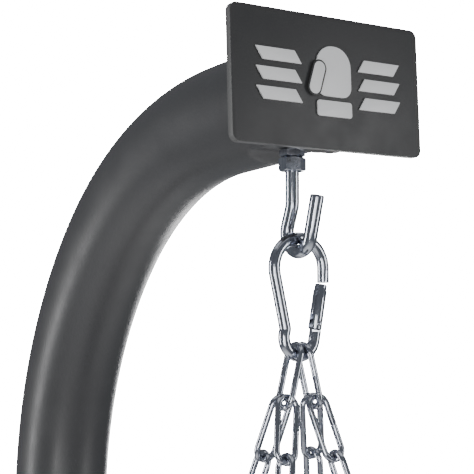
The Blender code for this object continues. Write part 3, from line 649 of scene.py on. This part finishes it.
def mast():
    """Mast tube, coupling sleeve, flanged socket and the cross bolts that lock them."""
    low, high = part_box("mast_tube")
    bm = turned(tube_profile(TUBE_R, TUBE_R - TUBE_WALL, low.z, high.z), TUBE_SEGMENTS)
    piece("mast", bm, "stand", "powder", ["mast_tube"], ON_MAST)
    bore = TUBE_R + 0.0006
    low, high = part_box("coupling_sleeve")
    sleeve_r = (high.x - low.x) / 2
    bm = turned(tube_profile(sleeve_r, bore, low.z, high.z), TUBE_SEGMENTS, 0.0012)
    piece("sleeve", bm, "stand", "powder", ["coupling_sleeve"], ON_MAST)
    low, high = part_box("mast_socket")
    flange_r, flange_top = (high.x - low.x) / 2, low.z + 0.008
    profile = [(bore, low.z), (flange_r, low.z), (flange_r, flange_top), (sleeve_r, flange_top),
               (sleeve_r, high.z), (bore, high.z)]
    piece("socket", turned(profile, TUBE_SEGMENTS, 0.0010), "stand", "powder", ["mast_socket"], ON_MAST)
    welds = bmesh.new()
    join(welds, bead(sleeve_r + 0.001, 0.0026, 70), at(0, 0, flange_top + 0.001))
    join(welds, bead(flange_r + 0.001, 0.0028, 100), at(0, 0, low.z + 0.001))
    piece("socket_welds", welds, "stand", "powder", place=ON_MAST)
    for number in range(4):
        gusset(number, sleeve_r, flange_top)
    for name in ("coupling_low", "coupling_high", "socket"):
        cross_bolt(name)


def gusset(number, sleeve_r, flange_top):
    """A welded web between the socket and its flange."""
    reach, rise, tip, thick = 0.050, 0.11, 0.012, 0.006
    start = sleeve_r + 2 * GAP
    points = [(start, 0), (start + reach, 0), (start + reach, tip), (start + tip, rise), (start, rise)]
    bm = outline_plate(points, thick)
    soften(bm, 0.0008)
    bmesh.ops.translate(bm, vec=(0, 0, -thick / 2), verts=bm.verts)
    turn = Matrix.Rotation(radians(45 + 90 * number), 4, "Z")
    place = ON_MAST @ at(0, 0, flange_top + GAP) @ turn @ UPRIGHT
    piece(f"web_{number + 1}", bm, "stand", "powder", [f"gusset_{number + 1}"], place)


def cross_bolt(name):
    """A bolt seen from its head at -X, with the threaded tip and nut at +X."""
    head_low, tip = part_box(name + "_bolt")
    nut_low, nut_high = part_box(name + "_nut")
    z = middle(name + "_nut").z
    shank_r, flats, head = 0.005, 0.016, 0.0064
    seat = head_low.x + head
    bm = hexagon(flats, head)
    join(bm, threaded_rod(shank_r, tip.x - seat, 0.026), Matrix.Rotation(pi, 4, "X"))
    place = frame_matrix(Vector((seat, MAST.y, z)), Y, -X)
    piece(name + "_hex_bolt", bm, "stand", "zinc", [name + "_bolt"], place)
    bm = hexagon(flats, nut_high.x - nut_low.x, shank_r + GAP)
    place = frame_matrix(Vector((nut_low.x, MAST.y, z)), Y, X)
    piece(name + "_hex_nut", bm, "stand", "zinc", [name + "_nut"], place)


def threaded_rod(radius, length, thread, pitch=0.00125):
    """A rod up from z = 0, threaded over the given length at its top."""
    turns = int(thread / pitch)
    profile = [(0, 0), (radius, 0), (radius, length - turns * pitch - pitch)]
    for number in range(turns):
        z = length - (turns - number) * pitch - pitch / 2
        profile += [(radius - 0.0006, z), (radius, z + pitch / 2)]
    profile += [(radius - 0.0010, length), (0, length)]
    return turned(profile, 32)


def base():
    """Three box-section legs bolted under the hub plate."""
    spread, spot = size("hub_plate"), middle("hub_plate")
    bm = flat_plate(spread.x, spread.y, 0.03, spread.z, 10)
    soften(bm, 0.0010)
    piece("hub", bm, "stand", "powder", ["hub_plate"], at(spot.x, spot.y, spot.z - spread.z / 2))
    for name in ("front_leg_left", "front_leg_right", "rear_leg"):
        foot = middle(name + "_foot")
        along = Vector((foot.x - MAST.x, foot.y - MAST.y, 0)).normalized()
        leg(name, along)
        rubber_foot(name)
        peg(name)
        leg_bolts(name, along)


def leg(name, along):
    """A box tube with round corners, and a rubber plug in its end."""
    width, wall, corner = 0.060, 0.0025, 0.005
    low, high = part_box(name)
    height = high.z - low.z
    start, end = 0.045, high.y - MAST.y
    if name != "rear_leg":
        start, end = 0.075, (MAST.y - low.y - abs(along.x) * width / 2) / -along.y
    section = flat_plate(width, height, corner, 0.001, 5)
    bmesh.ops.delete(section, geom=[v for v in section.verts if v.co.z > 0.0005], context="VERTS")
    bmesh.ops.delete(section, geom=section.faces[:], context="FACES_ONLY")
    edges = section.edges[:]
    steps = 24
    for _ in range(steps):
        edges = grow(section, edges, Z * ((end - start) / steps))
    tidy(section)
    place = frame_matrix(Vector((MAST.x, MAST.y, low.z + height / 2)) + along * start, Z.cross(along), along)
    hollow(piece(name + "_tube", section, "stand", "powder", [name], place), wall)
    cap = flat_plate(width, height, corner, 0.003, 5)
    soften(cap, 0.0009)
    plug = flat_plate(width - 2 * wall - 0.001, height - 2 * wall - 0.001, 0.003, 0.012, 4)
    join(cap, plug, at(0, 0, -0.012))
    place = place @ at(0, 0, end - start + GAP)
    piece(name + "_end_cap", cap, "stand", "rubber", [name + "_cap"], place)


def stood(name, bm, slot, node):
    """A turned piece of the stand, set on the lower face of its node's box."""
    low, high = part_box(node)
    spot = (low + high) / 2
    piece(name, bm, "stand", slot, [node], at(spot.x, spot.y, low.z))


def rubber_foot(name):
    """A round foot with a ribbed skirt and a stepped tread."""
    height = size(name + "_foot").z
    profile = [(0, 0), (0.020, 0), (0.021, 0.0012), (0.025, 0.0012), (0.026, 0), (0.0325, 0),
               (0.0355, 0.003), (0.0355, 0.0045), (0.0335, 0.0052), (0.0335, 0.0070), (0.0328, 0.0078),
               (0.0285, height - 0.001), (0.0275, height), (0, height)]
    stood(name + "_rubber_foot", turned(profile, 64), "rubber", name + "_foot")


def peg(name):
    """A plate peg welded to its washer base."""
    radius, height, flare = 0.0125, size(name + "_peg").z, 0.026
    profile = [(0, 0), (flare, 0), (flare, 0.005), (radius, 0.005), (radius, height), (0, height)]
    bm = turned(profile, 48, 0.0012)
    join(bm, bead(radius + 0.0008, 0.0018, 30, 60), at(0, 0, 0.0058))
    stood(name + "_plate_peg", bm, "powder", name + "_peg")


def leg_bolts(name, along):
    """Two hex bolts with washers that hold a leg under the hub plate."""
    reach = 0.106 if name == "rear_leg" else 0.128
    bm = bmesh.new()
    for side in (-1, 1):
        spot = MAST + along * reach + Z.cross(along) * side * 0.016
        place = at(spot.x, spot.y, HUB_TOP + 0.0001)
        join(bm, turned(tube_profile(0.0102, 0.0053, 0, 0.0016), 40, 0.0003), place)
        join(bm, hexagon(0.016, 0.0064), place @ at(0, 0, 0.0017))
    piece(name + "_hub_bolts", bm, "stand", "zinc")


# ---------------------------------------------------------------- hook bolt and snap hook

HOOK_R = 0.00525
HOOK_BEND_R = 0.0148
HOOK_KINK = 22
NUT_FLATS = 0.018


def hook_bolt():
    """The bolt runs down through the arm, leans back at a kink and bends round into an open hook."""
    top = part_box("hook_bolt")[1].z
    kink_z = HOOK_BAR.z + HOOK_BEND_R + 0.0197
    kink_r, open_by, tip = 0.012, 16, 0.0305
    run = kink_r * tan(radians(HOOK_KINK) / 2)
    moves = [(top - kink_z - run - 0.03,), (kink_r, -HOOK_KINK), (0.01526 - run,),
             (HOOK_BEND_R, 180 + HOOK_KINK - open_by), (tip,)]
    bm = bent_wire(HOOK_R, moves, 32, arc_step=6)
    join(bm, threaded_rod(HOOK_R, 0.0305, 0.020), Matrix.Rotation(-pi / 2, 4, "Y"))
    place = at(0, HOOK_Y, top - 0.03) @ Matrix.Rotation(-pi / 2, 4, "Z") @ Matrix.Rotation(pi / 2, 4, "Y")
    piece("open_hook", bm, "stand", "zinc", ["hook_bolt"], place)
    for node, name, flats in (("hook_lock_nut", "lock_nut", NUT_FLATS - 0.001),
                              ("hook_lower_nut", "lower_nut", NUT_FLATS),
                              ("hook_top_nut", "top_nut", NUT_FLATS)):
        low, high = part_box(node)
        nut = hexagon(flats, high.z - low.z, HOOK_R + GAP)
        piece(name, nut, "stand", "zinc", [node], at(0, HOOK_Y, low.z))
    low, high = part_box("hook_top_washer")
    washer = turned(tube_profile((high.x - low.x) / 2, HOOK_R + GAP, 0, high.z - low.z), 48, 0.0004)
    piece("top_washer", washer, "stand", "zinc", ["hook_top_washer"], at(0, HOOK_Y, low.z))


SNAP_R = 0.0045
SNAP_TOP_R = 0.0222
SNAP_EYE_R = 0.0137
SNAP_TOP = Vector((0, HOOK_BAR.y, HOOK_BAR.z + HOOK_R + GAP + SNAP_R))
SNAP_TAPER = radians(13)
NOSE_DEPTH = 0.0105
GATE_LENGTH = 0.0295
GATE_LEAN = radians(10.5)


def snap_hook():
    """Bent from one wire: nose, round top, back leg leaning in, and a small eye that ends in a tongue."""
    top_z = SNAP_TOP.z - SNAP_TOP_R
    eye = Vector((0, EYE_BAR.z + SNAP_EYE_R))
    leave = Vector((-SNAP_TOP_R * cos(SNAP_TAPER), top_z - SNAP_TOP_R * sin(SNAP_TAPER)))
    down = Vector((sin(SNAP_TAPER), -cos(SNAP_TAPER)))
    inward = Vector((cos(SNAP_TAPER), sin(SNAP_TAPER)))
    neck = 0.005
    reach = SNAP_EYE_R + neck
    turn = acos(((eye - leave).dot(inward) + neck) / reach)
    leg_length = (eye - leave).dot(down) - reach * sin(turn)
    taper, turn = SNAP_TAPER * 180 / pi, turn * 180 / pi
    moves = [(NOSE_DEPTH * 0.5,), (NOSE_DEPTH * 0.5,), (SNAP_TOP_R, 180 + taper), (leg_length,),
             (neck, -turn), (SNAP_EYE_R, 170 - taper + turn), (0.0095,)]
    bm = bent_wire(SNAP_R, moves, 32, arc_step=5)
    start = Vector((SNAP_TOP_R, SNAP_TOP.y, top_z - NOSE_DEPTH))
    body = piece("snap_body", bm, "snap_hook", "zinc", ["snap_hook_body"],
                 Matrix.Translation(start) @ Matrix.Rotation(-pi / 2, 4, "Y"))
    mill_nose(body, start)
    tongue_r, tongue_thick, root = 0.0034, 0.0038, 0.0055
    points = trace((-tongue_r, -root), 90, [(root,), (tongue_r, -180), (root,)], 12)
    tongue = outline_plate(points[::-1], tongue_thick)
    upright = Matrix.Translation(PIN + Y * (tongue_thick / 2)) @ UPRIGHT
    bmesh.ops.transform(tongue, matrix=upright, verts=tongue.verts)
    carve(body, tongue, "UNION")
    for side in (-1, 1):
        cheek = Matrix.Translation(PIN + Vector((0, side * (tongue_thick / 2 + 0.005), 0.0002)))
        carve(body, block((0.02, 0.01, 0.012), cheek))
    pin()
    gate()


def mill_nose(body, start):
    """Flats milled on both faces of the nose, each with a pointed top, where the gate's fork closes over."""
    half, depth, width = 0.0040, 0.008, 0.0125
    for side in (-1, 1):
        spot = start + Vector((0.0002, side * (half + depth / 2), 0.0010))
        carve(body, block((width, depth, width), Matrix.Translation(spot) @ Matrix.Rotation(pi / 4, 4, "Y")))


def pin():
    """A rivet through the gate's fork and the tongue, with domed heads."""
    radius, half, dome = 0.0015, 0.0052, 0.0021
    profile = [(0, -half - 0.0007), (dome * 0.7, -half - 0.0005), (dome, -half), (radius, -half),
               (radius, half), (dome, half), (dome * 0.7, half + 0.0005), (0, half + 0.0007)]
    place = Matrix.Translation(PIN) @ UPRIGHT
    piece("hinge_rivet", turned(profile, 28), "snap_hook", "zinc", ["snap_hook_pin"], place)


def gate():
    """A round bar forked at its lower end, with a slightly narrower tip under the nose."""
    outer, tip = 0.0051, 0.0046
    profile = [(0, -0.0048), (0.0036, -0.0048), (0.0047, -0.0043), (outer, -0.0034),
               (outer, GATE_LENGTH - 0.0050), (tip, GATE_LENGTH - 0.0040),
               (tip, GATE_LENGTH - 0.0005), (tip - 0.0005, GATE_LENGTH), (0, GATE_LENGTH)]
    tilt = Matrix.Translation(PIN) @ Matrix.Rotation(GATE_LEAN, 4, "Y")
    obj = piece("snap_gate", turned(profile, 40), "gate", "zinc", ["snap_hook_gate"], tilt)
    carve(obj, block((0.016, 0.0046, 0.0145), tilt @ at(0, 0, -0.0006)))


# ---------------------------------------------------------------- chains and rings

LINK_R = 0.0025
LINK_END_R = 0.008
TOP_PITCH = 0.042
LEG_PITCH = 0.043
LEG_LINKS = 11
LINK_REACH = TOP_PITCH / 2 + LINK_R
TOP_LINK_LEAN = radians(14.5)
TOP_LINK_SPREAD = 0.0046
TOP_LINK_PLAY = 0.0008
LEG_SPREAD = 0.00275
RING_R = 0.003
RING_DEPTH = 0.034
RING_BEND_R = 0.0225
STRAP_THICK = 0.0028
BAR_R = BAG_R + GAP + STRAP_THICK + 0.0004


def chain_link(inner_length):
    """A link standing on Z, bent from wire, with its butt joint half way up one side."""
    straight = inner_length + 2 * LINK_R - 2 * LINK_END_R
    lip, fine = 0.0004, 0.0022
    half = straight / 2 - lip - fine
    moves = [(lip,), (fine,), (half,), (LINK_END_R, 180), (straight,), (LINK_END_R, 180), (half,), (fine,),
             (lip,)]
    bm = bent_wire(LINK_R, moves, 14, loop=True, arc_step=15)
    for v in bm.verts:
        if v.co.z < LINK_R * 1.1:
            squeeze = 0.80 if abs(v.co.x) < 1e-5 else 1.05 if abs(v.co.x) < lip * 1.1 else 1.0
            v.co.y, v.co.z = v.co.y * squeeze, v.co.z * squeeze
    bmesh.ops.transform(bm, verts=bm.verts, matrix=Matrix.Rotation(-pi / 2, 4, "Y") @
                        at(0, 0, -LINK_END_R))
    return bm


def top_links():
    """Two links over the snap hook's eye, leaning apart. Returns the middle of each one's lower bend."""
    bends = {}
    for side, name in ((-1, "left"), (1, "right")):
        down = Vector((side * sin(TOP_LINK_LEAN), 0, -cos(TOP_LINK_LEAN)))
        hang = SNAP_R + LINK_R + TOP_LINK_PLAY
        crown = EYE_BAR + Vector((side * TOP_LINK_SPREAD, 0, 0.0008)) - down * hang
        place = frame_matrix(crown + down * LINK_REACH, Vector((0, -side, 0)), -down)
        piece(f"bridle_link_{name}", chain_link(TOP_PITCH), "bag", "zinc", [f"top_link_{name}"], place)
        bends[side] = crown + down * (2 * LINK_REACH - LINK_END_R)
    return bends


def leg_ends(bend, side_x, side_y):
    """Start of one chain leg, the direction it runs in, and the middle of its ring's straight bar."""
    start = bend + Vector((0, side_y * LEG_SPREAD, -0.0005))
    across = Vector((side_x, side_y, 0)).normalized() * BAR_R + BAG_AXIS
    length = 2 * LINK_REACH + (LEG_LINKS - 1) * LEG_PITCH - (LINK_R + RING_R + GAP) + RING_DEPTH
    offset = Vector((across.x - start.x, across.y - start.y, 0))
    bar = start + offset - Z * sqrt(length ** 2 - offset.length ** 2)
    return start, (bar - start).normalized(), bar


def chain_leg(where, start, down, outward):
    """A row of links, each turned a quarter from the last and twisting slowly to meet its ring."""
    across = (X - down * down.x).normalized()
    last = (outward - down * down.dot(outward)).normalized()
    twist = atan2(across.cross(last).dot(down), across.dot(last))
    twist -= pi * round(twist / pi)
    row = bmesh.new()
    for number in range(LEG_LINKS):
        roll = pi / 2 * (number % 2) + twist * number / (LEG_LINKS - 1)
        width = Matrix.Rotation(roll, 3, down) @ across * (1 if number % 4 < 2 else -1)
        place = frame_matrix(start + down * (LINK_REACH + number * LEG_PITCH), width, -down)
        join(row, chain_link(LEG_PITCH), place)
    piece(f"chain_{where}", row, "bag", "zinc", [f"chain_leg_{where}"])


def d_ring(name, body, node, bar, across, up):
    """A D ring: straight bar through its strap, bow towards the chain."""
    corner = 0.004
    side = RING_DEPTH - RING_BEND_R - corner
    half = RING_BEND_R - corner
    moves = [(half,), (corner, 90), (side,), (RING_BEND_R, 180), (side,), (corner, 90), (half,)]
    bm = bent_wire(RING_R, moves, 20, loop=True)
    piece(name, bm, body, "zinc", [node], frame_matrix(bar, across, up))


# ---------------------------------------------------------------- bag

def webbing(width, rows, route):
    """A strip laid along a route of (out, up) points, its width on X, with a map in millimetres."""
    runs = [(Vector(b) - Vector(a)).length for a, b in zip(route, route[1:])]
    total = sum(runs)
    bm = bmesh.new()
    layer = bm.loops.layers.uv.new("UVMap")
    bmesh.ops.create_grid(bm, x_segments=6, y_segments=rows, size=0.5)
    bmesh.ops.translate(bm, vec=(0, 0.5, 0), verts=bm.verts)
    bmesh.ops.scale(bm, vec=(width, 1, 1), verts=bm.verts)
    for face in bm.faces:
        for loop in face.loops:
            loop[layer].uv = (loop.vert.co.x * 1000, loop.vert.co.y * 1000 * total)
    for v in bm.verts:
        left, number = v.co.y * total, 0
        while number < len(runs) - 1 and left > runs[number]:
            left -= runs[number]
            number += 1
        spot = Vector(route[number]).lerp(Vector(route[number + 1]), left / runs[number])
        v.co = (v.co.x, spot.x, spot.y)
    return bm


def thicken(obj, thick, bevel):
    ply = obj.modifiers.new("Ply", "SOLIDIFY")
    ply.thickness, ply.offset = thick, 0
    edge = obj.modifiers.new("Edge", "BEVEL")
    edge.width, edge.segments, edge.limit_method = bevel, 2, "ANGLE"


def bag_strap(where, bar, outward):
    """Webbing folded over the ring's bar, with both plies sewn down the side of the bag."""
    width, length = 0.034, 0.15
    fold = RING_R + GAP + 0.0006 + STRAP_THICK / 2
    inner = BAG_R + 2 * GAP + STRAP_THICK / 2
    outer = inner + STRAP_THICK + 0.0004
    rise = 0.009
    arc = [(BAR_R + fold * cos(radians(a)), fold * sin(radians(a))) for a in range(200, -21, -10)]
    route = [(inner, -length), (inner, -rise)] + arc + [(outer, -rise), (outer, -length)]
    place = frame_matrix(Vector((0, BAG_AXIS.y, bar.z)), Z.cross(outward) * -1, Z)
    bm = webbing(width, 150, route)
    strap = piece(f"strap_{where}", bm, "bag", "webbing", [f"bag_strap_{where}"], place)
    thicken(strap, STRAP_THICK, 0.0006)
    sew_box(place, outer + STRAP_THICK / 2, width / 2 - 0.004, -0.140, -0.040)


STITCHES = bmesh.new()
STITCH_LENGTH = 0.0042
THREAD_R = 0.00055


def stitch(spot, along, out):
    """One stitch: a small bead of thread lying along its seam."""
    made = bmesh.ops.create_icosphere(STITCHES, subdivisions=1, radius=1)["verts"]
    place = frame_matrix(spot, along, out) @ Matrix.Diagonal((STITCH_LENGTH / 2, THREAD_R, THREAD_R, 1))
    bmesh.ops.transform(STITCHES, matrix=place, verts=made)


def sew_line(first, last, out, step=0.0058):
    along = (last - first).normalized()
    count = round((last - first).length / step)
    for number in range(count):
        stitch(first.lerp(last, (number + 0.5) / count), along, out)


def sew_ring(radius, z):
    step = 0.0062
    count = round(2 * pi * radius / step)
    for number in range(count):
        angle = 2 * pi * number / count
        out = Vector((cos(angle), sin(angle), 0))
        stitch(BAG_AXIS + out * radius + Z * z, Vector((-sin(angle), cos(angle), 0)), out)


def sew_box(place, out, half, low, high):
    """A box with a cross in it, sewn through a strap. Its corners are given in the strap's own frame."""
    spots = ((-half, low), (half, low), (half, high), (-half, high))
    corners = [place @ Vector((x, out, z)) for x, z in spots]
    facing = (place.to_3x3() @ Y).normalized()
    for a, b in ((0, 1), (1, 2), (2, 3), (3, 0), (0, 2), (1, 3)):
        sew_line(corners[a], corners[b], facing)


def bulge(z):
    """How full the cover is at a height: drawn in at its seams, fuller low down."""
    t = (z - BAG_LOW.z) / (BAG_HIGH.z - BAG_LOW.z)
    panel = (t * 3) % 1
    return 0.0022 * sin(pi * panel) + 0.0015 * (1 - t)


def cover():
    """Leather tube with a sewn-in floor, a rolled rim and soft creases."""
    low, high = BAG_LOW.z, BAG_HIGH.z
    wall, round_r = 0.0035, 0.020
    inner = BAG_R - wall
    corner = [(BAG_R - round_r + round_r * sin(a), low + round_r - round_r * cos(a))
              for a in (pi / 2 * n / 8 for n in range(9))]
    rows = 150
    side = [(BAG_R, low + round_r + (high - 0.004 - low - round_r) * n / rows) for n in range(1, rows + 1)]
    rim = [(BAG_R - wall / 2 + wall * 0.75 * cos(a), high - 0.0026 + wall * 0.75 * sin(a))
           for a in (pi * n / 6 for n in range(7))]
    inside = [(inner, high - 0.004), (inner, low + round_r), (inner - round_r, low + wall)]
    floor = [(BAG_R * n / 10, low) for n in range(8)]
    bm = turned(floor + corner + side + rim + inside + [(0, low + wall)], 180)
    for v in bm.verts:
        out = Vector((v.co.x, v.co.y, 0))
        if out.length < BAG_R - 0.001 or v.co.z > high - 0.004:
            continue
        spot = Vector((v.co.x * 9, v.co.y * 9, v.co.z * 16))
        crease = noise.fractal(spot, 0.8, 2.1, 4) * 0.0016
        dent = noise.noise(v.co * 5.0) * 0.0020
        calm = ease((high - 0.12 - v.co.z) / 0.10) * ease((v.co.z - low) / 0.05)
        v.co += out.normalized() * (bulge(v.co.z) + crease + dent - 0.0012) * calm
    obj = piece("leather_cover", bm, "bag", "leather", ["bag_cover"], ON_BAG)


def trims():
    """Welts, the lid and the filling under it."""
    low, high = BAG_LOW.z, BAG_HIGH.z
    bm = bmesh.new()
    for z, radius, thick in ((high - 0.020, BAG_R + 0.0004, 0.0014), (low + 0.019, BAG_R + 0.0008, 0.0026)):
        section = [(radius + thick * cos(a), z + thick * sin(a)) for a in (pi / 4 * n for n in range(8))]
        join(bm, turned(section, 180))
    piece("welts", bm, "bag", "leather", place=ON_BAG)
    lid_low, lid_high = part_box("bag_lid")
    lid_r = (lid_high.x - lid_low.x) / 2
    crown = [(lid_r * (1 - n / 12), lid_low.z + 0.010 + 0.0037 * sin(pi / 2 * n / 12)) for n in range(13)]
    bm = turned([(0, lid_low.z), (lid_r - 0.001, lid_low.z), (lid_r, lid_low.z + 0.001),
                 (lid_r, lid_low.z + 0.009)] + crown, 128)
    for v in bm.verts:
        if v.co.z > lid_low.z + 0.0095:
            v.co.z += noise.fractal(v.co * 28, 0.8, 2.1, 4) * 0.0010
    lid = piece("leather_lid", bm, "bag", "leather", ["bag_lid"], ON_BAG)
    low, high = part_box("bag_filling")
    fill_r, step, rows = (high.x - low.x) / 2, 0.016, 30
    profile = [(0, low.z), (fill_r - step, low.z), (fill_r, low.z + step)]
    profile += [(fill_r, low.z + step + (high.z - low.z - step) * n / rows) for n in range(1, rows + 1)]
    bm = turned(profile + [(fill_r / 2, high.z), (0, high.z)], 96)
    stuffing = piece("rag_stuffing", bm, "bag", "filling", ["bag_filling"], ON_BAG)


def seams():
    """Rows of stitches round the rim and the floor, and down the back of the cover."""
    low, high = BAG_LOW.z, BAG_HIGH.z
    for z in (high - 0.010, high - 0.030, high - 0.036):
        sew_ring(BAG_R + 0.0004, z)
    for z in (low + 0.030, low + 0.037):
        sew_ring(BAG_R + 0.0012, z)
    sew_ring(BAG_R - 0.020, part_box("bag_lid")[1].z - 0.0022)
    for x in (-0.012, 0.012):
        edge = sqrt(BAG_R ** 2 - x ** 2) + 0.0032
        sew_line(BAG_AXIS + Vector((x, edge, low + 0.045)), BAG_AXIS + Vector((x, edge, high - 0.045)), Y)
    piece("stitching", STITCHES, "bag", "webbing", finish="thread")


def back_seam():
    """A lapped leather strip over the cover's joint, at the back."""
    low, high = BAG_LOW.z + 0.040, BAG_HIGH.z - 0.041
    bm = bmesh.new()
    bmesh.ops.create_grid(bm, x_segments=12, y_segments=90, size=0.5)
    bmesh.ops.scale(bm, vec=(0.034, high - low, 1), verts=bm.verts)
    for v in bm.verts:
        angle = v.co.x / BAG_R
        radius = BAG_R + 0.0024 + 0.0016 * (1 - (v.co.x / 0.017) ** 2)
        v.co = Vector((sin(angle) * radius, cos(angle) * radius, (low + high) / 2 + v.co.y))
    bmesh.ops.recalc_face_normals(bm, faces=bm.faces)
    strip = piece("back_seam", bm, "bag", "leather", place=ON_BAG)
    thicken(strip, 0.0016, 0.0005)


def bottom_fittings():
    """The strap bridge under the bag and the ring that hangs in it."""
    low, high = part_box("bottom_strap")
    width, half, thick = high.y - low.y, (high.x - low.x) / 2, 0.003
    drop = high.z - low.z - thick
    base_z = high.z - thick / 2
    route = [(-half, 0), (-0.019, 0), (-0.017, -0.0006), (-0.011, -drop + 0.0006), (-0.009, -drop),
             (0.009, -drop), (0.011, -drop + 0.0006), (0.017, -0.0006), (0.019, 0), (half, 0)]
    place = frame_matrix(Vector((0, BAG_AXIS.y, base_z)), Y, Z)
    bridge = piece("bridge_strap", webbing(width, 80, route), "bag", "webbing", ["bottom_strap"], place)
    thicken(bridge, thick, 0.0006)
    d_ring("tether_ring", "bottom_ring", "bottom_ring", RING_BAR, Y, -Z)
    for side in (-1, 1):
        ends = [Vector((side * x, BAG_AXIS.y + y, base_z - thick / 2)) for x in (0.024, 0.041)
                for y in (-0.011, 0.011)]
        for a, b in ((0, 1), (2, 3), (0, 2), (1, 3)):
            sew_line(ends[a], ends[b], -Z, 0.005)


def bag():
    bends = top_links()
    for side_x, side_y in CORNERS:
        where = corner_name(side_x, side_y)
        start, down, bar = leg_ends(bends[side_x], side_x, side_y)
        outward = Vector((side_x, side_y, 0)).normalized()
        chain_leg(where, start, down, outward)
        across = down.cross(outward).normalized()
        d_ring(f"d_ring_{where}", "bag", f"bag_ring_{where}", bar, across, -down)
        bag_strap(where, bar, outward)
    cover()
    trims()
    back_seam()
    bottom_fittings()
    seams()


camera()
studio()
ground()
arm()
sign()
emblem()
mast()
base()
hook_bolt()
snap_hook()
bag()
